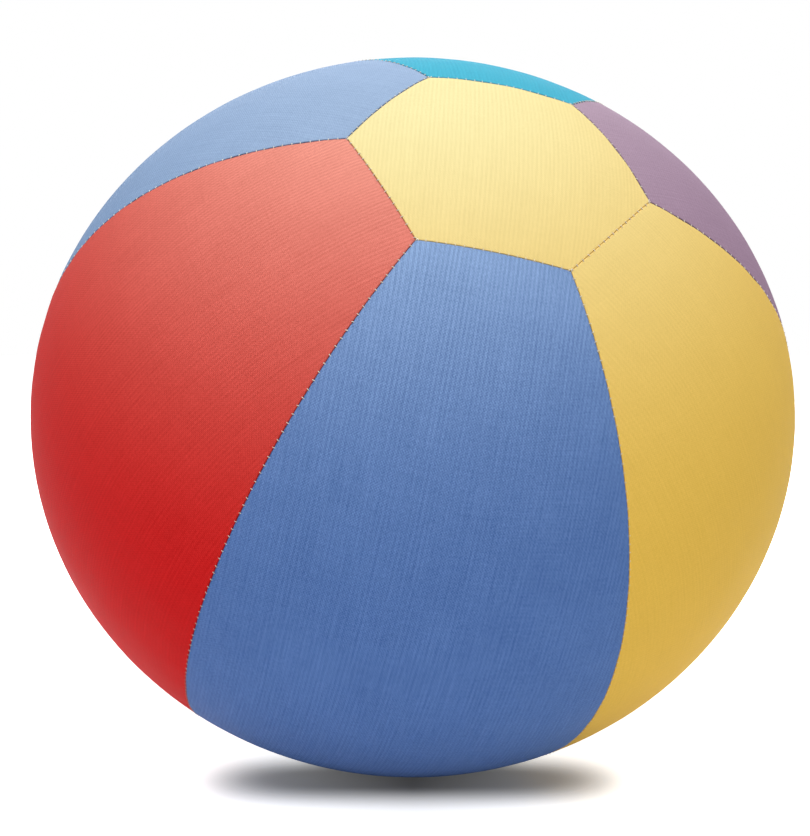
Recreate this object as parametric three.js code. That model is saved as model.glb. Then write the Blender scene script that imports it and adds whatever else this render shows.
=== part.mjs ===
// A soft balloon ball: a cotton cover of six coloured side panels between two six-sided caps,
// filled out by the rubber balloon inside it. The lower cap is a pair of overlapping hemmed flaps,
// between which the balloon goes in and comes out.
// Millimetres, +Z up, the origin on the floor under the middle of the ball.

import * as THREE from 'three';
import { mergeVertices } from 'three/addons/utils/BufferGeometryUtils.js';

const { clamp, degToRad, lerp, smoothstep } = THREE.MathUtils;

// The filled ball at rest
const ballWidth = 270;
const settledShare = 0.941;
const pressedRadius = 13;

// How it lies: turns of the upper cap away from straight up, in degrees
const layLean = 16.7;
const layTip = 42.5;
const laySpin = 8.4;

// Cover
const capCornerAngle = 20.8;
const clothThickness = 0.45;
const seamGap = 0.3;
const foldWidth = 1;
const allowanceWidth = 7;
const layerClearance = 0.3;

// Sewing thread
const threadDiameter = 0.4;
const threadClearance = 0.2;

// Closure flaps, measured from the line between two opposite corners of the lower cap
const openingCorner = 1;
const outerFlapReach = 8;
const innerFlapReach = 15;
const hemWidth = 10;
const hemStitchInset = 8;
const tuckClearance = 1;
const tuckRise = 8;

// Balloon
const balloonWall = 0.5;
const hollowRadius = 44;
const hollowDepth = 20;
const neckRadius = 3.2;
const neckBendRadius = 6;
const neckBendAngle = 60;
const knotRadius = 5;
const knotLength = 6;
const tailLength = 10;
const lipRadius = 4.6;
const boreRadius = 1;

// Side seams in order round the ball: where each lies, in degrees round the caps' axis,
// and how far it strays from there at the top, the middle and the bottom
const seams = [
  { name: 'red_blue', place: -120, top: -0.4, middle: 1.4, bottom: 1.6 },
  { name: 'blue_yellow', place: -60, top: -2.4, middle: -0.1, bottom: 1.7 },
  { name: 'yellow_purple', place: 0, top: -2.6, middle: 6.3, bottom: 2.1 },
  { name: 'purple_turquoise', place: 60, top: 0.7, middle: 0.4, bottom: 0 },
  { name: 'turquoise_light_blue', place: 120, top: 0.4, middle: -0.7, bottom: -0.2 },
  { name: 'light_blue_red', place: 180, top: -0.6, middle: -3, bottom: -0.2 },
];

// Side panels: each lies after the seam of the same number
const panels = [
  { name: 'side_panel_blue', color: '#4f6fae' },
  { name: 'side_panel_yellow', color: '#e8c766' },
  { name: 'side_panel_purple', color: '#9b7ca4' },
  { name: 'side_panel_turquoise', color: '#1fa7cf' },
  { name: 'side_panel_light_blue', color: '#86a3d6' },
  { name: 'side_panel_red', color: '#c8302c' },
];
const capColor = '#efd77c';
const threadColor = '#d9d4c8';
const balloonColor = '#e9dfcf';

// Facets: counts along and across a side panel, a cap edge and the round pieces
const panelRows = 16;
const panelColumns = 7;
const capEdgeSteps = 5;
const capRings = 4;
const flapRows = 3;
const flapColumns = 7;
const threadSides = 4;
const balloonColumns = 24;
const balloonRows = 11;

// Values that follow from the ones above
const radius = ballWidth / 2;
const centreHeight = settledShare * Math.sqrt(radius ** 2 - pressedRadius ** 2);
const capCorner = degToRad(capCornerAngle);
const capFlat = Math.atan(Math.tan(capCorner) * Math.cos(Math.PI / seams.length));
const panelLength = radius * (Math.PI - 2 * capCorner);
const doubleCloth = 2 * clothThickness;
const edgeInsets = [seamGap / 2, foldWidth, allowanceWidth, allowanceWidth + clothThickness];
const threadRadius = threadDiameter / 2;
const lay = new THREE.Matrix4().makeRotationFromEuler(
  new THREE.Euler(degToRad(layTip), degToRad(layLean), degToRad(laySpin), 'YXZ'),
);

// The point at a depth under the cover's outside, in a direction of the unturned round ball
function place(direction, depth) {
  const point = direction.clone().applyMatrix4(lay).multiplyScalar(radius - depth);
  point.z = Math.max(point.z * settledShare + centreHeight, depth);
  return point;
}

function directionAt(polar, azimuth) {
  const fromAxis = Math.sin(polar);
  return new THREE.Vector3(fromAxis * Math.cos(azimuth), fromAxis * Math.sin(azimuth), Math.cos(polar));
}

function evenly(from, to, count) {
  return Array.from({ length: count + 1 }, (_, step) => lerp(from, to, step / count));
}

// Triangles of a grid of points, whose rows and columns may each close into a ring
function gridTriangles(rows, rowsClose, columnsClose) {
  const triangles = [];
  const lastRow = rowsClose ? rows.length : rows.length - 1;
  const lastColumn = columnsClose ? rows[0].length : rows[0].length - 1;
  for (let r = 0; r < lastRow; r += 1) {
    for (let c = 0; c < lastColumn; c += 1) {
      const below = rows[(r + 1) % rows.length];
      const next = (c + 1) % rows[0].length;
      triangles.push([rows[r][c], below[c], below[next]]);
      triangles.push([rows[r][c], below[next], rows[r][next]]);
    }
  }
  return triangles;
}

// Triangles that join two edges of equal length, point by point
function stripTriangles(edge, partner) {
  const triangles = [];
  for (let i = 0; i + 1 < edge.length; i += 1) {
    triangles.push([edge[i + 1], edge[i], partner[i]]);
    triangles.push([edge[i + 1], partner[i], partner[i + 1]]);
  }
  return triangles;
}

// The edge of an open grid, once round from its first corner
function gridBorder(rows) {
  const last = rows[0].length - 1;
  return [
    ...rows.map((row) => row[0]),
    ...rows.at(-1).slice(1),
    ...rows.slice(0, -1).reverse().map((row) => row[last]),
    ...rows[0].slice(0, -1).reverse(),
  ];
}

// A closed body from triangles: shared corners are merged, and its faces point outwards
function bodyOf(triangles) {
  const solidTriangles = triangles.filter(([a, b, c]) => {
    return !a.equals(b) && !b.equals(c) && !c.equals(a);
  });
  const volume = solidTriangles.reduce((sum, [a, b, c]) => sum + a.dot(b.clone().cross(c)), 0);
  const facing = volume > 0 ? solidTriangles : solidTriangles.map(([a, b, c]) => [a, c, b]);
  const positions = facing.flat().flatMap((point) => point.toArray());
  const geometry = new THREE.BufferGeometry();
  geometry.setAttribute('position', new THREE.Float32BufferAttribute(positions, 3));
  const merged = mergeVertices(geometry, 1e-4);
  merged.computeVertexNormals();
  return merged;
}

// Cloth between an outer and an inner grid, open all round its border
function clothPiece(outer, inner) {
  return bodyOf([
    ...gridTriangles(outer, false, false),
    ...gridTriangles(inner, false, false).map(([a, b, c]) => [a, c, b]),
    ...stripTriangles(gridBorder(outer), gridBorder(inner)),
  ]);
}

// Thread through sections of equal count, with flat ends or closed into a ring
function threadPiece(sections, closes) {
  const ends = closes ? [] : [sections[0], [...sections.at(-1)].reverse()];
  const endFans = ends.flatMap((end) => {
    return end.slice(1, -1).map((point, i) => [end[0], point, end[i + 2]]);
  });
  return bodyOf([...gridTriangles(sections, closes, true), ...endFans]);
}

// Sides of a thread's section: a step sideways and a step down into the cover
const threadCorners = Array.from({ length: threadSides }, (_, side) => {
  const angle = (2 * Math.PI * side) / threadSides;
  return { aside: threadRadius * Math.cos(angle), down: threadRadius * Math.sin(angle) };
});

// Depth of the seam thread's middle, clear of the two folded edges that it lies between
function seamThreadDepth() {
  const run = foldWidth - seamGap / 2;
  const slope = Math.hypot(run, clothThickness) / run;
  const valley = (clothThickness * foldWidth) / run;
  return valley - (threadRadius + threadClearance) * slope;
}

// Angle of a side seam round the caps' axis; seams count on past the last, once more round
function seamAzimuth(seam, row) {
  const { place: azimuth, top, middle, bottom } = seams[seam % seams.length];
  const ends = top * (1 - row) * (1 - 2 * row) + bottom * row * (2 * row - 1);
  const stray = ends + middle * 4 * row * (1 - row);
  return degToRad(azimuth + stray + 360 * Math.floor(seam / seams.length));
}

function seamPolar(row) {
  return lerp(capCorner, Math.PI - capCorner, row);
}

// Polar angle of a cap's straight edge, at a share of the way along it
function capEdgePolar(panel, end, column) {
  const half = (seamAzimuth(panel + 1, end) - seamAzimuth(panel, end)) / 2;
  return Math.atan((Math.tan(capCorner) * Math.cos(half)) / Math.cos(half * (2 * column - 1)));
}

// A side panel's direction: row runs from 0 at the upper cap to 1 at the lower, column across
function sideDirection(panel, row, column) {
  const polar = lerp(capEdgePolar(panel, 0, column), Math.PI - capEdgePolar(panel, 1, column), row);
  const azimuth = lerp(seamAzimuth(panel, row), seamAzimuth(panel + 1, row), column);
  return directionAt(polar, azimuth);
}

// Where the ball stands: the side panel, row and column that point straight down
function findRestingSpot() {
  const down = new THREE.Vector3(0, 0, -1).applyMatrix4(lay.clone().invert());
  const row = clamp((Math.acos(down.z) - capCorner) / (Math.PI - 2 * capCorner), 0.15, 0.85);
  const azimuth = Math.atan2(down.y, down.x);
  const turned = azimuth < seamAzimuth(0, row) ? azimuth + 2 * Math.PI : azimuth;
  const panel = panels.findLastIndex((_, index) => seamAzimuth(index, row) <= turned);
  const from = seamAzimuth(panel, row);
  const column = (turned - from) / (seamAzimuth(panel + 1, row) - from);
  return { panel, row, column: clamp(column, 0.25, 0.75) };
}

const restingSpot = findRestingSpot();
const spotHalfWidth = 0.65 * pressedRadius;

// Grid lines over a length: close at the folded edges, even between, and round a flat spot
function gridLines(length, count, spot) {
  const edge = edgeInsets.map((inset) => inset / length);
  const from = edge[3];
  const nearEdge = edge.slice(0, 3);
  const farEdge = [...nearEdge].reverse().map((line) => 1 - line);
  if (spot === undefined) {
    return [...nearEdge, ...evenly(from, 1 - from, count), ...farEdge];
  }
  const half = spotHalfWidth / length;
  const before = clamp(Math.round((count - 1) * spot), 1, count - 2);
  return [
    ...nearEdge,
    ...evenly(from, spot - half, before),
    ...evenly(spot + half, 1 - from, count - 1 - before),
    ...farEdge,
  ];
}

const rowLines = gridLines(panelLength, panelRows, restingSpot.row);

function columnLines(panel, row) {
  const span = seamAzimuth(panel + 1, row) - seamAzimuth(panel, row);
  const width = radius * Math.sin(seamPolar(row)) * span;
  return gridLines(width, panelColumns, panel === restingSpot.panel ? restingSpot.column : undefined);
}

// Cloth is folded in at its sewn edges: its outside dips at the fold, and its inside is double there
function isFold(index, count) {
  return index === 0 || index === count - 1;
}

function isAllowance(index, count) {
  return index < 3 || index > count - 4;
}

function sidePanel(panel) {
  const outer = [];
  const inner = [];
  rowLines.forEach((row, r) => {
    const columns = columnLines(panel, row);
    const directions = columns.map((column) => sideDirection(panel, row, column));
    outer.push(directions.map((direction, c) => {
      const folds = isFold(r, rowLines.length) || isFold(c, columns.length);
      return place(direction, folds ? clothThickness : 0);
    }));
    inner.push(directions.map((direction, c) => {
      const isDouble = isAllowance(r, rowLines.length) || isAllowance(c, columns.length);
      return place(direction, isDouble ? doubleCloth : clothThickness);
    }));
  });
  return clothPiece(outer, inner);
}

function sideSeamThread(seam) {
  const middle = seamThreadDepth();
  const sections = rowLines.slice(1, -1).map((row) => {
    const polar = seamPolar(row);
    return threadCorners.map(({ aside, down }) => {
      const azimuth = seamAzimuth(seam, row) + aside / (radius * Math.sin(polar));
      return place(directionAt(polar, azimuth), middle + down);
    });
  });
  return threadPiece(sections, false);
}

// The caps are laid out flat, on a plane one unit from the ball's centre, where their edges are straight
function capCorners(end) {
  return seams.map((_, seam) => {
    const azimuth = seamAzimuth(seam, end);
    return new THREE.Vector2(Math.cos(azimuth), Math.sin(azimuth)).multiplyScalar(Math.tan(capCorner));
  });
}

function capDirection(flat, end) {
  return new THREE.Vector3(flat.x, flat.y, end === 0 ? 1 : -1).normalize();
}

function capOutline(end) {
  const corners = capCorners(end);
  return corners.flatMap((corner, i) => {
    const next = corners[(i + 1) % corners.length];
    return evenly(0, 1, capEdgeSteps).slice(0, -1).map((share) => corner.clone().lerp(next, share));
  });
}

// Share of the cap's size at a distance inside its edge
function capShare(inset) {
  return Math.tan(capFlat - inset / radius) / Math.tan(capFlat);
}

function topCap() {
  const outline = capOutline(0);
  const edge = edgeInsets.map(capShare);
  const shares = [...evenly(0, edge[3], capRings), edge[2], edge[1], edge[0]];
  const ringAt = (share, depth) => outline.map((flat) => {
    return place(capDirection(flat.clone().multiplyScalar(share), 0), depth);
  });
  const last = shares.length - 1;
  const outer = shares.map((share, ring) => ringAt(share, ring === last ? clothThickness : 0));
  const inner = shares.map((share, ring) => ringAt(share, ring > last - 3 ? doubleCloth : clothThickness));
  const closed = (ring) => [...ring, ring[0]];
  return bodyOf([
    ...gridTriangles(outer, false, true),
    ...gridTriangles(inner, false, true).map(([a, b, c]) => [a, c, b]),
    ...stripTriangles(closed(outer[last]), closed(inner[last])),
  ]);
}

function capSeamThread(end) {
  const middle = seamThreadDepth();
  const sections = capOutline(end).map((flat) => threadCorners.map(({ aside, down }) => {
    const share = capShare(-aside);
    return place(capDirection(flat.clone().multiplyScalar(share), end), middle + down);
  }));
  return threadPiece(sections, true);
}

// Closure flaps. A flap's height is 0 on the line between the opening's two corners,
// grows towards the edge that is sewn in, and is negative past the line, down to its hem
const flapHeight = radius * Math.tan(capFlat);
const tuckDepth = doubleCloth + layerClearance + clothThickness;

function flapCorners(isOuter) {
  const corners = capCorners(1);
  const step = isOuter ? 1 : -1;
  const cornerAt = (count) => corners[(openingCorner + count * step + 2 * corners.length) % corners.length];
  return {
    left: cornerAt(0),
    right: cornerAt(3),
    leftSewn: cornerAt(1),
    rightSewn: cornerAt(2),
    leftPast: cornerAt(-1),
    rightPast: cornerAt(4),
  };
}

// Both ends of the flap's row at a height, on the flat cap
function flapRowEnds(corners, height) {
  const share = Math.abs(height) / flapHeight;
  const left = height > 0 ? corners.leftSewn : corners.leftPast;
  const right = height > 0 ? corners.rightSewn : corners.rightPast;
  return [corners.left.clone().lerp(left, share), corners.right.clone().lerp(right, share)];
}

function flapRowHeights(isOuter) {
  const reach = isOuter ? outerFlapReach : innerFlapReach;
  const hemTop = hemWidth - reach;
  const bodyTop = flapHeight - edgeInsets[3];
  const tuckStart = outerFlapReach + tuckClearance;
  const tuck = isOuter ? [] : [tuckStart, tuckStart + tuckRise / 2, tuckStart + tuckRise];
  const bodyFrom = isOuter ? hemTop + clothThickness : tuckStart + tuckRise;
  const heights = [
    ...edgeInsets.map((inset) => flapHeight - inset),
    ...evenly(bodyFrom, bodyTop, flapRows).slice(1, -1),
    ...tuck,
    0,
    hemTop + clothThickness,
    hemTop,
    hemStitchInset - reach,
    foldWidth - reach,
    -reach,
  ];
  heights.sort((a, b) => b - a);
  return heights.filter((height, i) => i === 0 || heights[i - 1] - height > clothThickness / 2);
}

// Depth of a flap's outside: the inner flap passes under the outer one
function flapDepth(isOuter, height) {
  if (isOuter) {
    return 0;
  }
  const tuckStart = outerFlapReach + tuckClearance;
  return tuckDepth * (1 - smoothstep(height, tuckStart, tuckStart + tuckRise));
}

function flapColumnLines(ends) {
  const [left, right] = ends.map((flat) => place(capDirection(flat, 1), 0));
  return gridLines(left.distanceTo(right), flapColumns);
}

function closureFlap(isOuter) {
  const corners = flapCorners(isOuter);
  const reach = isOuter ? outerFlapReach : innerFlapReach;
  const heights = flapRowHeights(isOuter);
  const outer = [];
  const inner = [];
  heights.forEach((height, r) => {
    const ends = flapRowEnds(corners, height);
    const columns = flapColumnLines(ends);
    const depth = flapDepth(isOuter, height);
    const directions = columns.map((column) => capDirection(ends[0].clone().lerp(ends[1], column), 1));
    outer.push(directions.map((direction, c) => {
      const folds = isFold(r, heights.length) || isFold(c, columns.length);
      return place(direction, depth + (folds ? clothThickness : 0));
    }));
    inner.push(directions.map((direction, c) => {
      const isDouble = r < 3 || isAllowance(c, columns.length) || height <= hemWidth - reach;
      return place(direction, depth + (isDouble ? doubleCloth : clothThickness));
    }));
  });
  return clothPiece(outer, inner);
}

// A hem's row of stitches lies on the flap, along the hem's sewn edge
function hemThread(isOuter) {
  const corners = flapCorners(isOuter);
  const reach = isOuter ? outerFlapReach : innerFlapReach;
  const height = hemStitchInset - reach;
  const middle = flapDepth(isOuter, height) - threadRadius - threadClearance;
  const columns = flapColumnLines(flapRowEnds(corners, height)).slice(3, -3);
  const sections = columns.map((column) => threadCorners.map(({ aside, down }) => {
    const ends = flapRowEnds(corners, height + aside);
    const flat = ends[0].clone().lerp(ends[1], column);
    return place(capDirection(flat, 1), middle + down);
  }));
  return threadPiece(sections, false);
}

// The balloon is one wall, drawn as rings round the caps' axis: down its outside to the neck,
// which is knotted and bent over in a hollow behind the flaps, and back up its inside.
// The widest facet of the cover dips in by facetDip, so the balloon lies that much deeper
const facetStep = Math.hypot(Math.PI / panelRows, (2 * Math.PI) / (panels.length * panelColumns));
const facetDip = radius * (1 - Math.cos(facetStep / 2));
const balloonDepth = doubleCloth + facetDip + layerClearance;
const balloonCapDepth = tuckDepth + doubleCloth + 2 * layerClearance;

function balloonDepthAt(polar) {
  const rim = Math.PI - capCorner - (2 * allowanceWidth) / radius;
  return lerp(balloonDepth, balloonCapDepth, smoothstep(polar, rim, rim + allowanceWidth / radius));
}

function balloonRing(polar, depth) {
  return evenly(0, 2 * Math.PI, balloonColumns).slice(0, -1).map((azimuth) => {
    return place(directionAt(polar, azimuth), depth);
  });
}

// The round wall and the hollow in it, from the upper cap's middle to the neck
function balloonShellRings(inset) {
  const hollowPolar = Math.PI - Math.asin(hollowRadius / radius);
  const rim = Math.PI - capCorner - (2 * allowanceWidth) / radius;
  const round = [...evenly(0, rim, balloonRows), rim + allowanceWidth / radius, hollowPolar];
  const hollow = [0.85, 0.7, 0.55, 0.4, 0.25, 0.12].map((share) => {
    return Math.PI - Math.asin(lerp(neckRadius, hollowRadius, share) / radius);
  });
  return [...round, ...hollow].map((polar) => {
    const fromAxis = radius * Math.sin(polar);
    const isHollow = polar >= hollowPolar;
    const sink = isHollow ? hollowDepth * (1 - smoothstep(fromAxis, neckRadius, hollowRadius)) : 0;
    return balloonRing(polar, balloonDepthAt(polar) + sink + inset);
  });
}

// A ring of the neck, at a length along its bent middle line from the hollow's bottom
function neckRing(along, ringRadius) {
  const bend = Math.min(along / neckBendRadius, degToRad(neckBendAngle));
  const straight = Math.max(along - neckBendRadius * degToRad(neckBendAngle), 0);
  const rise = neckBendRadius * Math.sin(bend) + straight * Math.cos(bend);
  const aside = neckBendRadius * (1 - Math.cos(bend)) + straight * Math.sin(bend);
  const floor = radius - balloonCapDepth - hollowDepth;
  return evenly(0, 2 * Math.PI, balloonColumns).slice(0, -1).map((azimuth) => {
    const across = ringRadius * Math.cos(azimuth);
    const point = new THREE.Vector3(
      aside + across * Math.cos(bend),
      ringRadius * Math.sin(azimuth),
      -(floor + rise - across * Math.sin(bend)),
    );
    return place(point.clone().normalize(), radius - point.length());
  });
}

function balloon() {
  const knotStart = neckBendRadius * degToRad(neckBendAngle) + 1;
  const knotEnd = knotStart + knotLength;
  const tailEnd = knotEnd + tailLength;
  const neckEnd = lerp(knotStart, knotEnd, 0.05);
  const outside = [
    ...evenly(0, knotStart, 3).map((along) => neckRing(along, neckRadius)),
    ...[0.15, 0.35, 0.65, 0.85].map((share) => {
      const bulge = Math.sqrt(1 - (2 * share - 1) ** 2);
      return neckRing(lerp(knotStart, knotEnd, share), neckRadius + (knotRadius - neckRadius) * bulge);
    }),
    neckRing(knotEnd, neckRadius * 0.9),
    neckRing(lerp(knotEnd, tailEnd, 0.5), lerp(neckRadius, lipRadius, 0.4)),
    neckRing(tailEnd - 2 * balloonWall, lipRadius - balloonWall),
    neckRing(tailEnd - balloonWall, lipRadius),
    neckRing(tailEnd, lipRadius - balloonWall),
  ];
  const inside = [
    neckRing(tailEnd - balloonWall, lipRadius - 2 * balloonWall),
    neckRing(lerp(knotEnd, tailEnd, 0.5), lerp(neckRadius, lipRadius, 0.4) - balloonWall),
    neckRing(knotEnd, boreRadius),
    neckRing(neckEnd, boreRadius),
    ...evenly(0, knotStart - 1, 2).reverse().map((along) => neckRing(along, neckRadius - balloonWall)),
  ];
  const shellInside = balloonShellRings(balloonWall).reverse();
  return bodyOf(gridTriangles([...balloonShellRings(0), ...outside, ...inside, ...shellInside], false, true));
}

// Materials
function clothMaterial(color) {
  return new THREE.MeshStandardMaterial({ color, roughness: 0.9, metalness: 0 });
}

function threadMaterial() {
  return new THREE.MeshStandardMaterial({ color: threadColor, roughness: 0.7, metalness: 0 });
}

function balloonMaterial() {
  return new THREE.MeshStandardMaterial({ color: balloonColor, roughness: 0.45, metalness: 0 });
}

// The ball
const ball = new THREE.Group();
ball.name = 'balloon_ball';

function addPiece(name, geometry, material) {
  const mesh = new THREE.Mesh(geometry, material);
  mesh.name = name;
  ball.add(mesh);
}

addPiece('cap_panel_top', topCap(), clothMaterial(capColor));
panels.forEach(({ name, color }, panel) => addPiece(name, sidePanel(panel), clothMaterial(color)));
addPiece('closure_flap_outer', closureFlap(true), clothMaterial(capColor));
addPiece('closure_flap_inner', closureFlap(false), clothMaterial(capColor));
seams.forEach(({ name }, seam) => addPiece(`seam_thread_${name}`, sideSeamThread(seam), threadMaterial()));
addPiece('cap_seam_thread_top', capSeamThread(0), threadMaterial());
addPiece('cap_seam_thread_bottom', capSeamThread(1), threadMaterial());
addPiece('hem_thread_outer', hemThread(true), threadMaterial());
addPiece('hem_thread_inner', hemThread(false), threadMaterial());
addPiece('balloon', balloon(), balloonMaterial());

export default ball;
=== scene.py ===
# Balloon ball: a soft cotton cover of coloured panels, blown tight by the balloon inside it
import bpy
import math, random
from mathutils import Euler, Matrix, Vector


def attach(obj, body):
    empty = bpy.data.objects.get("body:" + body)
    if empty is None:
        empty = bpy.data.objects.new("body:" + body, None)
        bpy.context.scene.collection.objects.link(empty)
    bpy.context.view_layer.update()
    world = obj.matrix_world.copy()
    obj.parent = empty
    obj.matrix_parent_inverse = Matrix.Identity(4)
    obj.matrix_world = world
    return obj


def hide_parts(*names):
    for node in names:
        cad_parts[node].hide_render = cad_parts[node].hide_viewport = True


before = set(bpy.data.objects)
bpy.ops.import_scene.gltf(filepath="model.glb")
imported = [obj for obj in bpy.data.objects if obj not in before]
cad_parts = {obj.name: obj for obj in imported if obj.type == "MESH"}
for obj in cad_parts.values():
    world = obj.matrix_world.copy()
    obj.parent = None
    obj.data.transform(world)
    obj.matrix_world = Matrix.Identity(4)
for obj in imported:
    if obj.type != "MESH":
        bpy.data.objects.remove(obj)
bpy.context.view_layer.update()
print("frame loaded:", len(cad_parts), "nodes")

# The filled ball at rest, as the frame has it: metres, and degrees for the way it lies
ball = dict(width=0.270, settled=0.941, pressed=0.013, lean=16.7, tip=42.5, spin=8.4, capCorner=20.8,
            floorSoftness=0.00012, floorReach=30)
# Side seams in order, in degrees: place round the caps' axis, and how far each strays on its way down
seams = [
    dict(name="red_blue", place=-120, top=-0.4, middle=1.4, bottom=1.6),
    dict(name="blue_yellow", place=-60, top=-2.4, middle=-0.1, bottom=1.7),
    dict(name="yellow_purple", place=0, top=-2.6, middle=6.3, bottom=2.1),
    dict(name="purple_turquoise", place=60, top=0.7, middle=0.4, bottom=0),
    dict(name="turquoise_light_blue", place=120, top=0.4, middle=-0.7, bottom=-0.2),
    dict(name="light_blue_red", place=180, top=-0.6, middle=-3, bottom=-0.2),
]
panelNames = ["blue", "yellow", "purple", "turquoise", "light_blue", "red"]

radius = ball["width"] / 2
centreHeight = ball["settled"] * math.sqrt(radius ** 2 - ball["pressed"] ** 2)
centre = Vector((0, 0, centreHeight))
capCorner = math.radians(ball["capCorner"])
capFlat = math.atan(math.tan(capCorner) * math.cos(math.pi / 6))
panelLength = radius * (math.pi - 2 * capCorner)
lay = Euler([math.radians(ball[turn]) for turn in ("tip", "lean", "spin")], "ZXY").to_matrix()


def mix(a, b, share):
    return a + (b - a) * share


# Even steps from start to end, with both of them
def spread(start, end, count):
    return [mix(start, end, i / count) for i in range(count + 1)]


def smooth(value, low, high):
    share = min(max((value - low) / (high - low), 0), 1)
    return share * share * (3 - 2 * share)


# Where a depth under the cover's outside lies, in a direction of the unturned round ball.
# The flat spot has a soft edge, which can no longer be told at floorReach times its softness
def placeOnBall(direction, depth):
    point = lay @ (direction * (radius - depth))
    above = (point.z * ball["settled"] + centreHeight - depth) / ball["floorSoftness"]
    lift = above if above > ball["floorReach"] else math.log1p(math.exp(above))
    return Vector((point.x, point.y, max(depth + ball["floorSoftness"] * lift, 0)))


def directionAt(polar, azimuth):
    across = math.sin(polar)
    return Vector((across * math.cos(azimuth), across * math.sin(azimuth), math.cos(polar)))


# A row is the share of the way down a side panel, a column the share of the way across it
def seamAzimuth(seam, row):
    s = seams[seam % 6]
    ends = s["top"] * (1 - row) * (1 - 2 * row) + s["bottom"] * row * (2 * row - 1)
    return math.radians(s["place"] + ends + s["middle"] * 4 * row * (1 - row) + 360 * (seam // 6))


def seamPolar(row):
    return mix(capCorner, math.pi - capCorner, row)


def sideDirection(panel, row, column):
    polar = mix(capEdgePolar(panel, 0, column), math.pi - capEdgePolar(panel, 1, column), row)
    return directionAt(polar, mix(seamAzimuth(panel, row), seamAzimuth(panel + 1, row), column))


# The caps are flat hexagons on planes one unit from the centre: end 0 is the top cap, end 1 the lower
def capDirection(x, y, end):
    return Vector((x, y, 1 if end == 0 else -1)).normalized()


def capEdgePolar(panel, end, column):
    half = (seamAzimuth(panel + 1, end) - seamAzimuth(panel, end)) / 2
    return math.atan(math.tan(capCorner) * math.cos(half) / math.cos(half * (2 * column - 1)))


def capEdgeLength(panel, end):
    return radius * math.sin(capCorner) * (seamAzimuth(panel + 1, end) - seamAzimuth(panel, end))


def capShare(inset):
    return math.tan(capFlat - inset / radius) / math.tan(capFlat)


# Cotton cloth, how it is turned in and puckered at the seams, the painted highlight that lightens it
# towards the light above and before it, and the painted shade in its seams
cloth = dict(thickness=0.00030, foldRadius=0.00032, foldGap=0.00002, allowance=0.0065,
             puckerDepth=0.00010, puckerReach=0.0008, capRings=26,
             highlightHeight=60, highlightFalloff=2.6, seamShadeReach=0.00032)
# Cloth never lies quite even: long shallow waves, strongest along the seams
waves = dict(height=0.00006, reach=0.012, middle=0.25, across=310, along=190, alongShift=2.1,
             fine=470, fineShift=1.7, fineShare=0.6, capSeed=7, outerSeed=3, innerSeed=5)
# Stitches on the seams; those of the side seams get smaller on their way down, to lowSize
stitch = dict(pitch=0.003, thread=0.00030, reach=0.00055, dip=0.00026, rise=0.00012, depth=0.00002,
              sides=6, cuts=(-0.75, -0.4, 0, 0.4, 0.75), taper=0.3, jitter=0.0002, lean=0.35, lowSize=0.55,
              corners=((0.003, 0.7), (0.012, -0.5), (0.988, 0.6)), seed=11)
# Where a fold has its lines: shares of the hidden allowance, degrees of the turn, metres past it outside
foldShape = dict(hidden=(1, 0.6, 0.2, 0.04), turn=(180, 150, 120, 95, 72, 50, 28, 10, 0),
                 outside=(0.00025, 0.0009))


# Lines of cloth from the hidden end of an allowance, round the fold and onto the outside:
# how far inside the seam, how deep, and how far along the cloth each lies
def foldLines(foldRadius, foldGap, under):
    turn = [(foldGap + foldRadius * (1 - math.sin(a)), foldRadius * (1 - math.cos(a)))
            for a in map(math.radians, foldShape["turn"])]
    lines = [(turn[0][0] + under * share, turn[0][1]) for share in foldShape["hidden"]] + turn
    lines += [(lines[-1][0] + step, 0) for step in foldShape["outside"]]
    along = [0]
    for (a, b), (c, d) in zip(lines, lines[1:]):
        along.append(along[-1] + math.hypot(c - a, d - b))
    return [(inset, depth, run - along[-1]) for (inset, depth), run in zip(lines, along)]


seamFold = foldLines(cloth["foldRadius"], cloth["foldGap"], cloth["allowance"])
foldTop = seamFold[-1][0]
turnIn = -(foldTop + seamFold[0][2])
# Two steps of the grid to a stitch, down a side seam and along one of a cap's six edges
rowCount = 2 * round(panelLength / stitch["pitch"])
columnCount = 2 * round(2 * radius * math.sin(capCorner) * math.sin(math.pi / 6) / stitch["pitch"])
flapColumnCount = 3 * columnCount // 2


# Grid lines across a length of cloth that is folded in at both ends, as (share, depth, cloth run)
def clothLines(length, count):
    near = [(inset / length, depth, foldTop + run) for inset, depth, run in seamFold]
    start = near[-1][0]
    middle = [(share, 0, share * length) for share in spread(start, 1 - start, count)[1:-1]]
    far = [(1 - share, depth, length - run) for share, depth, run in reversed(near)]
    return near + middle + far


# How hard the stitches draw the fold in, at a place along the seam and a distance from it
def puckerAt(share, length, count, inset):
    start = foldTop / length
    beat = (share - start) / (1 - 2 * start) * count
    pull = 0.5 - 0.5 * math.cos(math.pi * beat)
    return cloth["puckerDepth"] * math.exp(-inset / cloth["puckerReach"]) * pull


def waveAt(seed, x, y, inset):
    broad = math.sin(x * waves["across"] + seed) * math.sin(y * waves["along"] + waves["alongShift"] * seed)
    fine = waves["fineShare"] * math.sin(y * waves["fine"] + seed * waves["fineShift"])
    return waves["height"] * (waves["middle"] + math.exp(-inset / waves["reach"])) * (broad + fine)


# How much painted highlight the cloth gets in a direction of the ball as it now lies, lighter where it
# faces up and to the front, and how much painted shade lies in a seam's valley
def paintedHighlightAt(direction):
    height = math.radians(cloth["highlightHeight"])
    towardsHighlight = Vector((0, -math.cos(height), math.sin(height)))
    return max((lay @ direction).dot(towardsHighlight), 0) ** cloth["highlightFalloff"]


# Painted shade in a seam's valley, darkest at the seam itself
def paintedSeamShadeAt(inset):
    return math.exp(-(max(inset, 0) / cloth["seamShadeReach"]) ** 2)


def deselectAll():
    bpy.ops.object.select_all(action="DESELECT")


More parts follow.
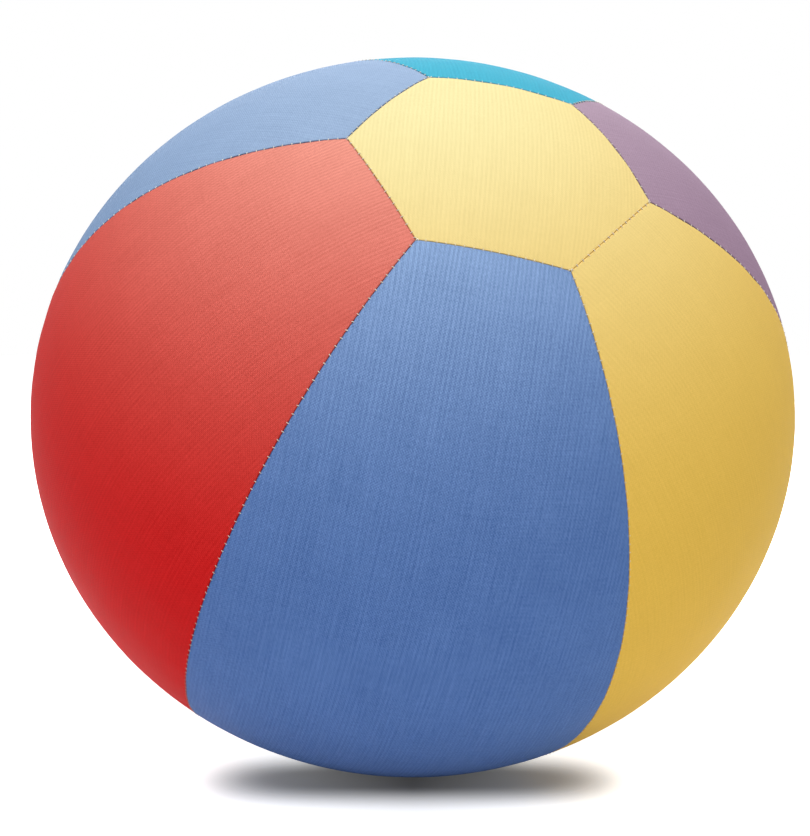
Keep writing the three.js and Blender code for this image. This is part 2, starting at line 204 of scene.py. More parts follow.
def selectOnly(piece):
    deselectAll()
    bpy.context.view_layer.objects.active = piece
    piece.select_set(True)


def enterEditMode():
    bpy.ops.object.mode_set(mode="EDIT")
    bpy.ops.mesh.select_all(action="SELECT")


def leaveEditMode():
    bpy.ops.object.mode_set(mode="OBJECT")


def nameActive(name):
    piece = bpy.context.object
    piece.name = piece.data.name = name
    return piece


# A flat grid of cloth, one vertex for each crossing of its lines, ready to be laid on the ball
def cutCloth(name, rows, columns):
    deselectAll()
    bpy.ops.mesh.primitive_grid_add(x_subdivisions=columns - 1, y_subdivisions=rows - 1, size=1)
    piece = nameActive(name)
    piece.data.uv_layers.active.name = "clothMap"
    return piece


def gridCrossing(co, rows, columns):
    return round((0.5 - co.y) * (rows - 1)), round((co.x + 0.5) * (columns - 1))


# A number for each vertex, which the material reads by name
def keepNumbers(mesh, name, numbers):
    kept = mesh.attributes.new(name, "FLOAT", "POINT")
    for vertex in mesh.vertices:
        kept.data[vertex.index].value = numbers[vertex.index]


# Each vertex goes to the place that target gives: direction, depth, how far inside the nearest seam,
# and spot on the flat cloth. The UV map keeps the flat cloth's own metres
def layCloth(piece, target):
    mesh = piece.data
    flat, paintedHighlight, paintedSeamShade = [], [], []
    for vertex in mesh.vertices:
        direction, depth, inset, clothSpot = target(vertex.co)
        vertex.co = placeOnBall(direction, depth)
        flat.append(clothSpot)
        # The painted highlight, lighter where the ball faces up and to the front
        paintedHighlight.append(paintedHighlightAt(direction))
        # The painted shade of the seams' valleys
        paintedSeamShade.append(paintedSeamShadeAt(inset))
    uvMap = mesh.uv_layers["clothMap"]
    for loop in mesh.loops:
        uvMap.data[loop.index].uv = flat[loop.vertex_index]
    keepNumbers(mesh, "paintedHighlight", paintedHighlight)
    keepNumbers(mesh, "paintedSeamShade", paintedSeamShade)
    mesh.update()


# The cloth's faces point outwards; then it gets its thickness,
# inwards, so that its outside keeps its place
def finishCloth(piece, width, length):
    selectOnly(piece)
    if sum(face.area * face.normal.dot(face.center - centre) for face in piece.data.polygons) < 0:
        enterEditMode()
        bpy.ops.mesh.flip_normals()
        leaveEditMode()
    width + 2 * turnIn
    length + 2 * turnIn
    wall = piece.modifiers.new("thickness", "SOLIDIFY")
    wall.thickness, wall.offset = cloth["thickness"], -1
    selectOnly(piece)
    bpy.ops.object.modifier_apply(modifier=wall.name)
    bpy.ops.object.shade_smooth()


def sidePanel(panel):
    rowLines = clothLines(panelLength, rowCount)
    columnsAt = []
    for row, _, _ in rowLines:
        polar = seamPolar(min(max(row, 0), 1))
        width = radius * math.sin(polar) * (seamAzimuth(panel + 1, row) - seamAzimuth(panel, row))
        columnsAt.append((width, clothLines(width, columnCount)))
    rows, columns = len(rowLines), len(columnsAt[0][1])

    def target(co):
        r, c = gridCrossing(co, rows, columns)
        row, rowDepth, rowRun = rowLines[r]
        width, columnLines = columnsAt[r]
        column, columnDepth, columnRun = columnLines[c]
        insetAcross = min(column, 1 - column) * width
        insetAlong = min(row, 1 - row) * panelLength
        inset = min(insetAcross, insetAlong)
        spot = (columnRun - width / 2, rowRun)
        depth = min(math.hypot(rowDepth, columnDepth), 2 * cloth["foldRadius"])
        depth += puckerAt(row, panelLength, rowCount, insetAcross)
        depth += puckerAt(column, width, columnCount, insetAlong)
        depth += waveAt(panel, *spot, inset)
        return sideDirection(panel, row, column), depth, inset, spot

    piece = cutCloth("cover_side_" + panelNames[panel], rows, columns)
    layCloth(piece, target)
    finishCloth(piece, max(width for width, _ in columnsAt), panelLength)
    return piece


# The cap's outline on its plane, with a point for each line of the side panels
def capOutline(end):
    points = []
    for panel in range(6):
        start = foldTop / capEdgeLength(panel, end)
        for share in [0] + spread(start, 1 - start, columnCount):
            azimuth = mix(seamAzimuth(panel, end), seamAzimuth(panel + 1, end), share)
            reach = math.tan(capEdgePolar(panel, end, share))
            points.append((reach * math.cos(azimuth), reach * math.sin(azimuth)))
    return points


# Which panel a direction round the axis belongs to, and how far across it the direction lies
def panelAcross(azimuth, end):
    turned = azimuth + 2 * math.pi if azimuth < seamAzimuth(0, end) else azimuth
    panel = max(p for p in range(6) if seamAzimuth(p, end) <= turned)
    start = seamAzimuth(panel, end)
    return panel, (turned - start) / (seamAzimuth(panel + 1, end) - start)


# The top cap is drawn flat: its outline is drawn in ring by ring, and the last ring closes in a point
def topCap():
    outline = capOutline(0)
    rings = [(capShare(inset), depth) for inset, depth, _ in seamFold]
    rings += [(rings[-1][0] * (1 - i / cloth["capRings"]), 0) for i in range(1, cloth["capRings"])]
    deselectAll()
    bpy.ops.mesh.primitive_circle_add(vertices=len(outline), radius=1)
    piece = nameActive("cover_cap_top")
    ordered = sorted(piece.data.vertices, key=lambda v: math.atan2(v.co.y, v.co.x))
    first = min(range(len(outline)), key=lambda i: math.atan2(outline[i][1], outline[i][0]))
    for i, vertex in enumerate(ordered):
        x, y = outline[(first + i) % len(outline)]
        vertex.co = (x * rings[0][0], y * rings[0][0], -rings[0][1])
    enterEditMode()
    for (share, depth), (nextShare, nextDepth) in zip(rings, rings[1:]):
        bpy.ops.mesh.extrude_edges_move()
        ratio = nextShare / share
        bpy.ops.transform.resize(value=(ratio, ratio, 1), center_override=(0, 0, 0))
        bpy.ops.transform.translate(value=(0, 0, depth - nextDepth))
    bpy.ops.mesh.extrude_edges_move()
    bpy.ops.mesh.merge(type="CENTER")
    leaveEditMode()
    piece.data.uv_layers.new(name="clothMap")

    def target(co):
        x, y, depth = co.x, co.y, -co.z
        panel, across = panelAcross(math.atan2(y, x), 0)
        inset = radius * (capEdgePolar(panel, 0, across) - math.atan(math.hypot(x, y)))
        spot = (x * radius, y * radius)
        depth += puckerAt(across, capEdgeLength(panel, 0), columnCount, max(inset, 0))
        depth += waveAt(waves["capSeed"], *spot, max(inset, 0))
        return capDirection(x, y, 0), depth, inset, spot

    layCloth(piece, target)
    finishCloth(piece, 2 * radius * math.tan(capCorner), 2 * radius * math.tan(capFlat))
    return piece


# Closure flaps: the two halves of the lower cap, which overlap. Each reaches past the cap's middle line
# and ends in a hem, which swells a little; the inner flap is tucked under the outer one
flap = dict(corner=1, outerReach=0.008, innerReach=0.015, hem=0.010, hemRadius=0.00038,
            rowGap=0.0015, middleRow=0.0004, tuckDepth=0.00165, tuckFrom=0.009, tuckRise=0.008,
            swell=0.00022, swellStart=0.0012, swellFull=0.0004, swellInset=0.002)
# The stitches along a hem: how far from its edge, how far from its ends, and the dashes of thread
hemSewing = dict(line=0.008, margin=0.004, reach=0.00115, thread=0.0005, dip=0.0005, rise=0.00012)

hemFold = foldLines(flap["hemRadius"], 0, flap["hem"])
flapHeight = radius * math.tan(capFlat)


def flapReach(isOuter):
    return flap["outerReach"] if isOuter else flap["innerReach"]


# Left and right corners: of the cap's middle line, the edge that this flap is sewn to, and the other edge
def flapCorners(isOuter):
    step = 1 if isOuter else -1
    spots = []
    for count in (0, 3, 1, 2, -1, 4):
        azimuth = seamAzimuth((flap["corner"] + count * step) % 6, 1)
        spots.append(Vector((math.cos(azimuth), math.sin(azimuth))) * math.tan(capCorner))
    return spots


def flapRowEnds(corners, height):
    left, right, leftSewn, rightSewn, leftPast, rightPast = corners
    share = abs(height) / flapHeight
    return (left.lerp(leftSewn if height > 0 else leftPast, share),
            right.lerp(rightSewn if height > 0 else rightPast, share))


def flapDepth(isOuter, height):
    if isOuter:
        return 0
    return flap["tuckDepth"] * (1 - smooth(height, flap["tuckFrom"], flap["tuckFrom"] + flap["tuckRise"]))


def closureFlap(isOuter):
    corners, reach = flapCorners(isOuter), flapReach(isOuter)
    sewn = [(flapHeight - inset, depth) for inset, depth, _ in seamFold]
    hemmed = [(inset - reach, depth) for inset, depth, _ in reversed(hemFold)]
    steps = round((sewn[-1][0] - hemmed[0][0]) / flap["rowGap"])
    between = spread(sewn[-1][0], hemmed[0][0], steps)[1:-1]
    middle = sorted([h for h in between if abs(h) > flap["middleRow"]] + [0], reverse=True)
    rowLines = sewn + [(height, 0) for height in middle] + hemmed
    ridge = flap["hem"] - reach
    columnsAt = []
    for height, _ in rowLines:
        left, right = flapRowEnds(corners, height)
        width = (right - left).length * radius * math.cos(capFlat)
        columnsAt.append(clothLines(width, flapColumnCount))
    rows, columns = len(rowLines), len(columnsAt[0])

    def target(co):
        r, c = gridCrossing(co, rows, columns)
        height, rowDepth = rowLines[r]
        share, columnDepth, _ = columnsAt[r][c]
        left, right = flapRowEnds(corners, height)
        place = left.lerp(right, share)
        inset = min(share, 1 - share) * (right - left).length * radius
        spot = (place.x * radius, place.y * radius)
        swell = flap["swell"] * smooth(height, ridge + flap["swellStart"], ridge - flap["swellFull"])
        depth = flapDepth(isOuter, height)
        depth += min(math.hypot(rowDepth, columnDepth), 2 * cloth["foldRadius"])
        depth += waveAt(waves["outerSeed" if isOuter else "innerSeed"], *spot, inset)
        depth -= swell if inset > flap["swellInset"] else 0
        return capDirection(place.x, place.y, 1), depth, inset, spot

    piece = cutCloth("cover_flap_outer" if isOuter else "cover_flap_inner", rows, columns)
    layCloth(piece, target)
    finishCloth(piece, 2 * radius * math.tan(capCorner), flapHeight + reach)
    return piece


# One stitch, lying along X with both ends dipping into the cloth: a thin tube, bowed over
def modelStitch(name, reach, thread, dip, rise):
    deselectAll()
    bpy.ops.mesh.primitive_cylinder_add(vertices=stitch["sides"], radius=thread / 2, depth=2 * reach,
                                        rotation=(0, math.pi / 2, 0))
    bpy.ops.object.transform_apply(location=True, rotation=True, scale=True)
    model = nameActive(name)
    for share in stitch["cuts"]:
        enterEditMode()
        bpy.ops.mesh.bisect(plane_co=(share * reach, 0, 0), plane_no=(1, 0, 0))
        leaveEditMode()
    bpy.ops.object.shade_smooth()
    for vertex in model.data.vertices:
        share = vertex.co.x / reach
        thin = 1 - stitch["taper"] * share ** 2
        vertex.co.y *= thin
        vertex.co.z = vertex.co.z * thin + rise * (1 - share ** 2) - dip * share ** 4
    return model


# Copies of the stitch, joined to a row. Each has its middle, how it lies, which way it faces, and its size
def sewRow(name, model, spots):
    deselectAll()
    for middle, across, outwards, size in spots:
        across = (across - outwards * across.dot(outwards)).normalized()
        along = outwards.cross(across)
        copy = bpy.data.objects.new(name, model.data.copy())
        turn = Matrix((across, along, outwards)).transposed().to_4x4()
        copy.data.transform(Matrix.Translation(middle) @ turn @ Matrix.Scale(size, 4))
        bpy.context.scene.collection.objects.link(copy)
        copy.select_set(True)
        bpy.context.view_layer.objects.active = copy
    bpy.ops.object.join()
    row = nameActive(name)
    for vertex in row.data.vertices:
        vertex.co.z = max(vertex.co.z, 0)
    return row


small = 0.001    # a step that tells which way a seam or the ball's face runs


# A stitch on a seam, from a rule that gives the direction at a share of the seam
def stitchSpot(directionOf, share, nudge, lean, size):
    depth = stitch["depth"]
    here = placeOnBall(directionOf(share + nudge), depth)
    along = (placeOnBall(directionOf(share + small), depth) - here).normalized()
    outwards = (here - placeOnBall(directionOf(share + nudge), depth + small)).normalized()
    across = outwards.cross(along)
    return here, across + along * lean, outwards, size


def seamSpots(directionOf, length, count, lowSize):
    start = foldTop / length
    spots = []
    for beat in range(1, count, 2):
        share = mix(start, 1 - start, beat / count)
        nudge = random.uniform(-1, 1) * stitch["jitter"] / length
        lean = random.uniform(-1, 1) * stitch["lean"]
        spots.append(stitchSpot(directionOf, share, nudge, lean, mix(1, lowSize, share)))
    return spots


def sideSeamStitches(seam, model):
    def directionOf(row):
        return directionAt(seamPolar(row), seamAzimuth(seam, row))
    spots = seamSpots(directionOf, panelLength, rowCount, stitch["lowSize"])
    return sewRow("stitches_" + seams[seam]["name"], model, spots)


def capEdgeDirection(panel, end):
    def directionOf(share):
        azimuth = mix(seamAzimuth(panel, end), seamAzimuth(panel + 1, end), share)
        polar = capEdgePolar(panel, end, share)
        return directionAt(polar if end == 0 else math.pi - polar, azimuth)
    return directionOf


def capSeamStitches(name, end, model):
    spots = []
    for panel in range(6):
        edge = capEdgeDirection(panel, end)
        spots += seamSpots(edge, capEdgeLength(panel, end), columnCount, 1)
        spots += [stitchSpot(edge, share, 0, lean, 1) for share, lean in stitch["corners"]]
    return sewRow(name, model, spots)


def hemStitches(isOuter, model):
    height = hemSewing["line"] - flapReach(isOuter)
    left, right = flapRowEnds(flapCorners(isOuter), height)
    length = (right - left).length * radius
    depth = flapDepth(isOuter, height) - flap["swell"]

    def hemPlace(run, under=0):
        spot = left.lerp(right, run / length)
        return placeOnBall(capDirection(spot.x, spot.y, 1), depth + under)

    spots = []
    for i in range(int((length - 2 * hemSewing["margin"]) / stitch["pitch"]) + 1):
        run = hemSewing["margin"] + i * stitch["pitch"]
        here = hemPlace(run)
        spots.append((here, hemPlace(run + small) - here, (here - hemPlace(run, small)).normalized(), 1))
    return sewRow("stitches_hem_outer" if isOuter else "stitches_hem_inner", model, spots)


# Shader maths: a socket's value, which can be added, multiplied and so on
class Wire:
    def __init__(self, graph, socket):
        self.graph, self.socket = graph, socket

    def math(self, operation, *values):
        return self.graph.node("ShaderNodeMath", dict(operation=operation), dict(enumerate(values)))

    # Another output of the same node
    def output(self, name):
        return Wire(self.graph, self.socket.node.outputs[name])

    def __add__(self, other): return self.math("ADD", self, other)
    def __radd__(self, other): return self.math("ADD", other, self)
    def __sub__(self, other): return self.math("SUBTRACT", self, other)
    def __rsub__(self, other): return self.math("SUBTRACT", other, self)
    def __mul__(self, other): return self.math("MULTIPLY", self, other)
    def __rmul__(self, other): return self.math("MULTIPLY", other, self)
    def __truediv__(self, other): return self.math("DIVIDE", self, other)
    def __rtruediv__(self, other): return self.math("DIVIDE", other, self)
    def sine(self): return self.math("SINE", self)
    def root(self): return self.math("SQRT", self)
    def atMost(self, most): return self.math("MINIMUM", self, most)


# A material's nodes, or the world's
class Graph:
    def __init__(self, tree):
        self.tree = tree

    # Any node: its type, its settings, what goes into its sockets, and which output is wanted
    def node(self, kind, settings=(), values=(), output=0):
        made = self.tree.nodes.new(kind)
        for name, value in dict(settings).items():
            setattr(made, name, value)
        for name, value in dict(values).items():
            self.give(made, name, value)
        return Wire(self, made.outputs[output])

    def give(self, node, name, value):
        if isinstance(value, Wire):
            self.tree.links.new(value.socket, node.inputs[name])
        else:
            node.inputs[name].default_value = value

    def noise(self, place, scale, detail, roughness):
        values = {"Vector": place, "Scale": scale, "Detail": detail, "Roughness": roughness}
        return self.node("ShaderNodeTexNoise", {}, values)

    # A mix of two colours: its sockets 6 and 7 and its output 2 are the ones for colour
    def blend(self, share, low, high):
        settings = dict(data_type="RGBA", clamp_factor=True)
        return self.node("ShaderNodeMix", settings, {0: share, 6: low, 7: high}, 2)

    def bump(self, height, look):
        relief = {"Height": height, "Strength": look["bump"], "Distance": look["bumpDistance"]}
        return self.node("ShaderNodeBump", {}, relief)

    def objectPlace(self):
        return self.node("ShaderNodeTexCoord", output="Object")

    def vertexNumber(self, name):
        return self.node("ShaderNodeAttribute", dict(attribute_name=name), output="Fac")


# A new material, its graph, and the shader's sockets filled in
def newMaterial(name, finish):
    material = bpy.data.materials.new(name)
    material.use_nodes = True
    graph = Graph(material.node_tree)
    shader = material.node_tree.nodes["Principled BSDF"]
    for socket, value in finish(graph).items():
        graph.give(shader, socket, value)
    return material


# A colour as it looks on a screen, 0 to 255, lighter or darker by some levels of all three
def shade(colour, levels=0):
    part = [min(max((value + levels) / 255, 0), 1) for value in colour]
    return (*(p / 12.92 if p < 0.04 else ((p + 0.055) / 1.055) ** 2.4 for p in part), 1)


# How the cotton is woven: gaps and wander in metres, and how much of each there is.
# A noise has its scale, its detail and its roughness
weave = dict(threadGap=0.00047, wander=0.00030, wanderNoise=(22.0, 1.0, 0.5), warp=0.35, weft=0.20,
             cross=0.35, reedThreads=3, streak=0.55, slubFine=1300, slubCoarse=45, weftSlub=0.5,
             slubNoise=(1.0, 3.0, 0.6), mottle=0.30, mottleNoise=(45.0, 4.0, 0.6),
             fleck=0.8, fleckNoise=(1900.0, 1.0, 0.6),
             roughness=0.65, fleckRoughness=0.25, mottleRoughness=0.1, specular=0.05, sheen=0.01,
             bump=0.35, bumpDistance=0.00006, crossRelief=0.6, rowRelief=0.4, slubRelief=1.5)
# The dyes: as new, paler under the painted highlight, between light and dark threads, and the painted shade
# down in a seam
looks = dict(
    blue=dict(colour=(77, 110, 168), highlightColour=(135, 161, 194), contrast=24, reed=0.27,
              seam=(44, 62, 108), seamShadeStrength=0.3),
    yellow=dict(colour=(226, 184, 77), highlightColour=(209, 198, 146), contrast=9, reed=0.20,
                seam=(240, 178, 76), seamShadeStrength=0.3),
    purple=dict(colour=(141, 112, 136), highlightColour=(153, 132, 148), contrast=14, reed=0.08,
                seam=(50, 34, 60), seamShadeStrength=0.7),
    turquoise=dict(colour=(0, 142, 173), highlightColour=(52, 150, 174), contrast=14, reed=0.10,
                   seam=(0, 70, 100), seamShadeStrength=0.7),
    light_blue=dict(colour=(114, 141, 179), highlightColour=(131, 152, 180), contrast=15, reed=0.08,
                    seam=(30, 44, 80), seamShadeStrength=0.7),
    red=dict(colour=(194, 13, 15), highlightColour=(203, 133, 117), contrast=17, reed=0.22,
             seam=(80, 8, 18), seamShadeStrength=0.40),
)


# Plain woven cotton, drawn on the cloth's own map: warp and weft cross over and under each other,
# and the reed that beat the weft home has left wider lines along the warp
def clothMaterial(name, look):
    def finish(graph):
        place = graph.objectPlace()
        mapped = graph.node("ShaderNodeUVMap", dict(uv_map="clothMap"))
        across = graph.node("ShaderNodeSeparateXYZ", {}, {0: mapped})
        along = across.output("Y")
        wander = (graph.noise(place, *weave["wanderNoise"]) - 0.5) * weave["wander"]
        warp = (across + wander) * (math.pi / weave["threadGap"])
        weft = (along + wander) * (math.pi / weave["threadGap"])
        cross = warp.sine() * weft.sine()
        warpRow, weftRow = (warp * 2).sine(), (weft * 2).sine()
        # The painted highlight; the reed lines show more under it
        paintedHighlight = graph.vertexNumber("paintedHighlight")
        reed = (warp * (2 / weave["reedThreads"])).sine() * (0.5 + paintedHighlight)

        def streak(a, b):
            spot = graph.node("ShaderNodeCombineXYZ", {}, {0: a, 1: b})
            return graph.noise(spot, *weave["slubNoise"]) - 0.5

        fine, coarse = weave["slubFine"], weave["slubCoarse"]
        warpSlub = streak(across * fine, along * coarse)
        slub = warpSlub + streak(across * coarse, along * fine) * weave["weftSlub"]
        mottle = graph.noise(place, *weave["mottleNoise"]) - 0.5
        fleck = graph.noise(place, *weave["fleckNoise"]) - 0.5
        rows = warpRow * weave["warp"] + weftRow * weave["weft"] + cross * weave["cross"]
        rows = rows + reed * look["reed"]
        tone = 0.5 + 0.5 * rows + slub * weave["streak"] + mottle * weave["mottle"] + fleck * weave["fleck"]

        def woven(colour):
            return graph.blend(tone, shade(colour, -look["contrast"]), shade(colour, look["contrast"]))

        # Painted highlight: the paler colour blended in towards the light above and before the ball
        highlighted = graph.blend(paintedHighlight, woven(look["colour"]), woven(look["highlightColour"]))
        # Painted shade: the seam colour darkens the cloth down in the seams' valleys
        seamShaded = graph.blend(graph.vertexNumber("paintedSeamShade") * look["seamShadeStrength"], highlighted, shade(look["seam"]))
        rough = weave["roughness"] + fleck * weave["fleckRoughness"] + mottle * weave["mottleRoughness"]
        rowHeight = (warpRow + weftRow) * weave["rowRelief"]
        height = cross * weave["crossRelief"] + rowHeight + slub * weave["slubRelief"]
        return {"Base Color": seamShaded, "Roughness": rough, "Normal": graph.bump(height, weave),
                "Specular IOR Level": weave["specular"], "Sheen Weight": weave["sheen"]}
    return newMaterial(name, finish)


# Spun thread and stretched rubber: a fine noise between two colours, which also roughens them
threadLook = dict(noise=(2600.0, 2.0, 0.6), dark=(172, 165, 150), light=(228, 221, 205),
                  roughness=0.5, roughening=0.25, sheen=0.15, bump=0.4, bumpDistance=0.00008)
rubberLook = dict(noise=(60.0, 5.0, 0.6), dark=(214, 200, 176), light=(236, 226, 208),
                  roughness=0.3, roughening=0.25, sheen=0, bump=0.15, bumpDistance=0.0004)


def cloudedMaterial(name, look):
    def finish(graph):
        cloud = graph.noise(graph.objectPlace(), *look["noise"])
        rough = look["roughness"] + cloud * look["roughening"]
        return {"Base Color": graph.blend(cloud, shade(look["dark"]), shade(look["light"])),
                "Roughness": rough, "Normal": graph.bump(cloud, look), "Sheen Weight": look["sheen"]}
    return newMaterial(name, finish)


# The balloon, tied off: depths under the cover, the hollow over the lower cap, the bent neck in it,
# the knot with its crease, the tail that widens again, and the rolled lip
balloonSize = dict(depth=0.0024, capDepth=0.0034, wall=0.0004, pole=0.0005,
                   rimInset=0.014, rimWidth=0.007, hollowRadius=0.044, hollowDepth=0.020,
                   neckRadius=0.0032, bendRadius=0.006, bendAngle=60, knotGap=0.001, knotRadius=0.005,
                   knotLength=0.006, creaseDepth=0.0006, creasePlace=0.55, creaseWidth=0.08,
                   tailLength=0.010, tailNarrow=0.9, tailFlare=0.7, lipRadius=0.0046, lipRoll=0.0006,
                   lipTurn=(30, 60, 90, 120, 150, 180), boreRadius=0.001, columns=64)
# How many steps each stretch of it has
balloonSteps = dict(shell=56, rim=5, hollow=14, neck=8, knot=12, tail=6, bore=3, neckInside=6)


# A tube drawn out station by station, then each ring laid in its place.
# Its wall goes down the outside to the lip of the neck and back up the inside
def balloonStations():
    b, steps = balloonSize, balloonSteps
    rim = math.pi - capCorner - b["rimInset"] / radius
    hollowPolar = math.pi - math.asin(b["hollowRadius"] / radius)
    shell = spread(b["pole"], rim, steps["shell"]) + spread(rim, hollowPolar, steps["rim"])[1:]
    shell += [math.pi - math.asin(reach / radius)
              for reach in spread(b["hollowRadius"], b["neckRadius"], steps["hollow"])[1:-1]]

    def shellRing(polar, inset):
        depth = mix(b["depth"], b["capDepth"], smooth(polar, rim, rim + b["rimWidth"] / radius)) + inset
        if polar > hollowPolar:
            outwards = smooth(radius * math.sin(polar), b["neckRadius"], b["hollowRadius"])
            depth += b["hollowDepth"] * (1 - outwards)
        return lambda azimuth: placeOnBall(directionAt(polar, azimuth), depth)

    def neckRing(along, ringRadius):
        full = math.radians(b["bendAngle"])
        bend = min(along / b["bendRadius"], full)
        straight = max(along - b["bendRadius"] * full, 0)
        rise = b["bendRadius"] * math.sin(bend) + straight * math.cos(bend)
        aside = b["bendRadius"] * (1 - math.cos(bend)) + straight * math.sin(bend)
        hollowFloor = radius - b["capDepth"] - b["hollowDepth"]

        def ring(azimuth):
            across = ringRadius * math.cos(azimuth)
            point = Vector((aside + across * math.cos(bend), ringRadius * math.sin(azimuth),
                            -(hollowFloor + rise - across * math.sin(bend))))
            return placeOnBall(point.normalized(), radius - point.length)
        return ring

    knotStart = b["bendRadius"] * math.radians(b["bendAngle"]) + b["knotGap"]
    knotEnd = knotStart + b["knotLength"]
    tailEnd = knotEnd + b["tailLength"]
    roll = b["lipRoll"]
    outside = [(along, b["neckRadius"]) for along in spread(0, knotStart, steps["neck"])]
    for share in spread(0, 1, steps["knot"])[1:-1]:
        crease = b["creaseDepth"] * math.exp(-((share - b["creasePlace"]) / b["creaseWidth"]) ** 2)
        swell = (b["knotRadius"] - b["neckRadius"]) * math.sqrt(1 - (2 * share - 1) ** 2)
        outside.append((mix(knotStart, knotEnd, share), b["neckRadius"] + swell - crease))
    for share in spread(0, 1, steps["tail"]):
        tailRadius = mix(b["neckRadius"] * b["tailNarrow"], b["lipRadius"] - roll, share ** b["tailFlare"])
        outside.append((mix(knotEnd, tailEnd - 2 * roll, share), tailRadius))
    lip = [(tailEnd - roll - roll * math.cos(a), b["lipRadius"] - roll + roll * math.sin(a))
           for a in map(math.radians, b["lipTurn"])]
    inside = list(zip(spread(tailEnd - 2 * roll, knotEnd, steps["tail"]),
                      spread(b["lipRadius"] - 2 * roll, b["boreRadius"], steps["tail"])))
    inside += [(along, b["boreRadius"]) for along in spread(knotEnd, knotStart, steps["bore"])[1:]]
    inside += [(along, b["neckRadius"] - b["wall"])
               for along in spread(knotStart - b["knotGap"], 0, steps["neckInside"])]
    stations = [shellRing(polar, 0) for polar in shell]
    stations += [neckRing(*station) for station in outside + lip + inside]
    return stations + [shellRing(polar, b["wall"]) for polar in reversed(shell)]


def balloonPiece():
    stations = balloonStations()
    deselectAll()
    bpy.ops.mesh.primitive_circle_add(vertices=balloonSize["columns"], radius=1)
    piece = nameActive("inner_balloon")
    enterEditMode()
    bpy.ops.mesh.edge_face_add()
    bpy.ops.mesh.select_all(action="SELECT")
    for _ in stations[1:]:
        bpy.ops.mesh.extrude_region_move(TRANSFORM_OT_translate={"value": (0, 0, 1)})
    leaveEditMode()
    for vertex in piece.data.vertices:
        vertex.co = stations[round(vertex.co.z)](math.atan2(vertex.co.y, vertex.co.x))
    enterEditMode()
    bpy.ops.mesh.normals_make_consistent(inside=False)
    leaveEditMode()
    bpy.ops.object.shade_smooth()
    return piece


# Every piece gets its material, stands for its solid in the frame, and rides with the ball
def dress(piece, material, node):
    piece.data.materials.append(material)
    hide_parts(node)
    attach(piece, "root")


random.seed(stitch["seed"])
rungModel = modelStitch("rung", stitch["reach"], stitch["thread"], stitch["dip"], stitch["rise"])
dashModel = modelStitch("dash", hemSewing["reach"], hemSewing["thread"], hemSewing["dip"],
                        hemSewing["rise"])
cottons = {name: clothMaterial("cotton " + name.replace("_", " "), look) for name, look in looks.items()}
thread = cloudedMaterial("sewing thread", threadLook)

for panel, name in enumerate(panelNames):
    dress(sidePanel(panel), cottons[name], "side_panel_" + name)
print("side panels laid")

dress(topCap(), cottons["yellow"], "cap_panel_top")
dress(closureFlap(True), cottons["yellow"], "closure_flap_outer")
dress(closureFlap(False), cottons["yellow"], "closure_flap_inner")
print("caps and flaps laid")

for seam in range(6):
    dress(sideSeamStitches(seam, rungModel), thread, "seam_thread_" + seams[seam]["name"])
dress(capSeamStitches("stitches_cap_top", 0, rungModel), thread, "cap_seam_thread_top")
dress(capSeamStitches("stitches_cap_bottom", 1, rungModel), thread, "cap_seam_thread_bottom")
dress(hemStitches(True, dashModel), thread, "hem_thread_outer")
dress(hemStitches(False, dashModel), thread, "hem_thread_inner")
for model in (rungModel, dashModel):
    bpy.data.objects.remove(model)
print("seams stitched")

dress(balloonPiece(), cloudedMaterial("stretched latex", rubberLook), "balloon")
print("balloon tied off")

# Studio: the photograph's view, a white floor that keeps the shadow, and soft light mostly from above
view = dict(distance=4.5, elevation=5, lens=72.25, shiftX=-0.0093, shiftY=-0.0018,
            nearest=0.01, furthest=20)
# The painted shadow is a long bar before the ball, lighter towards its ends, and a round footing under the
# ball, over the ball's real shadow
floorLook = dict(radius=3, sides=96, tone=0.93, glow=0.85, paintedShadowShare=0.5, shadowTone=0.038,
                 shadowEnds=0.152, shadowAhead=0.026, shadowWide=0.0702, shadowDeep=0.024,
                 shadowEdge=(0.3, 1.6), footing=0.045, footingEdge=(0.5, 1.0),
                 roughness=0.9, specular=0.1)
worldLevel = 0.10
lamps = dict(
    overhead=dict(place=(0, 0, 1.3), size=1.2, power=7.5),
    overFront=dict(place=(0, -0.7, 1.2), size=1.0, power=13.0),
    overLeft=dict(place=(-0.7, 0, 1.2), size=1.0, power=2.7),
    overRight=dict(place=(0.7, 0, 1.2), size=1.0, power=3.4),
    lowFront=dict(place=(-0.5, -1.0, 0.25), size=0.8, power=1.2),
    behind=dict(place=(0, 1.5, 0.6), size=1.2, power=8.0),
)


# 1 for the rays that see the background itself: the camera's, and those in gloss and glass
def seenDirectly(graph):
    camera = graph.node("ShaderNodeLightPath", output="Is Camera Ray")
    return (camera + camera.output("Is Glossy Ray") + camera.output("Is Transmission Ray")).atMost(1.0)


def setWorld():
    world = bpy.data.worlds.new("studio")
    bpy.context.scene.world = world
    world.use_nodes = True
    graph = Graph(world.node_tree)
    background = world.node_tree.nodes["Background"]
    graph.give(background, "Color", (1, 1, 1, 1))
    graph.give(background, "Strength", worldLevel + seenDirectly(graph) * (1 - worldLevel))


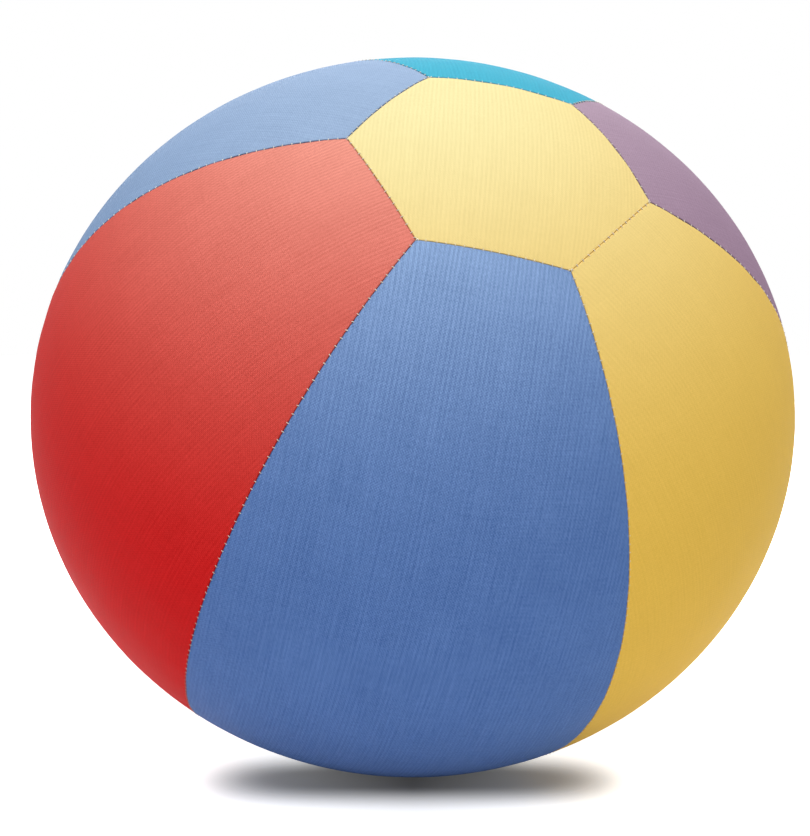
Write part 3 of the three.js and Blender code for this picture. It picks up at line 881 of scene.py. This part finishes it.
# The floor is white where it is seen, apart from a painted shadow before and under the ball, where its glow
# is held down and its colour is darker, over the ball's real shadow
def floorMaterial():
    look = floorLook

    def finish(graph):
        x = graph.node("ShaderNodeSeparateXYZ", {}, {0: graph.objectPlace()})
        y = x.output("Y")
        wide, deep = x / look["shadowWide"], (y + look["shadowAhead"]) / look["shadowDeep"]
        wide = wide * wide
        ends = wide.root().atMost(1.0) * look["shadowEnds"]

        def edge(reach, low, high):
            ramp = dict(interpolation_type="SMOOTHSTEP")
            return graph.node("ShaderNodeMapRange", ramp, {0: reach, 1: low, 2: high})

        beside = edge((wide * wide * wide + deep * deep).root(), *look["shadowEdge"])
        around = edge((x * x + y * y).root() / look["footing"], *look["footingEdge"])
        lit = beside * around
        # Painted shadow: the floor's colour is darker in the bar and the footing
        tone = (lit * (1 - look["paintedShadowShare"]) + look["paintedShadowShare"]) * look["tone"]
        # Painted shadow: the glow is held down in the bar and footing, a little lighter towards the bar's
        # ends
        glow = look["shadowTone"] + ends + lit * look["glow"]
        return {"Base Color": tone, "Roughness": look["roughness"], "Specular IOR Level": look["specular"],
                "Emission Color": glow * seenDirectly(graph), "Emission Strength": 1.0}
    return newMaterial("studio floor", finish)


def addFloor():
    deselectAll()
    bpy.ops.mesh.primitive_circle_add(vertices=floorLook["sides"], radius=floorLook["radius"],
                                      fill_type="NGON")
    floor = nameActive("studio_floor")
    floor.data.materials.append(floorMaterial())


# A lamp or a camera, looking from its place along a direction
def aim(name, data, place, direction):
    aimed = bpy.data.objects.new(name, data)
    bpy.context.scene.collection.objects.link(aimed)
    aimed.location = place
    aimed.rotation_mode = "QUATERNION"
    aimed.rotation_quaternion = direction.to_track_quat("-Z", "Y")
    return aimed


def addLamp(name, place, size, power):
    light = bpy.data.lights.new(name, "AREA")
    light.shape, light.size, light.energy = "SQUARE", size, power
    aim(name, light, place, centre - Vector(place))


def addCamera():
    tilt = math.radians(view["elevation"])
    back = Vector((0, -math.cos(tilt), math.sin(tilt)))
    data = bpy.data.cameras.new("camera")
    data.lens, data.shift_x, data.shift_y = view["lens"], view["shiftX"], view["shiftY"]
    data.clip_start, data.clip_end = view["nearest"], view["furthest"]
    bpy.context.scene.camera = aim("camera", data, centre + back * view["distance"] * radius, -back)


addCamera()
setWorld()
addFloor()
for name, lamp in lamps.items():
    addLamp(name, lamp["place"], lamp["size"], lamp["power"])
bpy.context.scene.view_settings.view_transform = "Standard"
print("studio set")
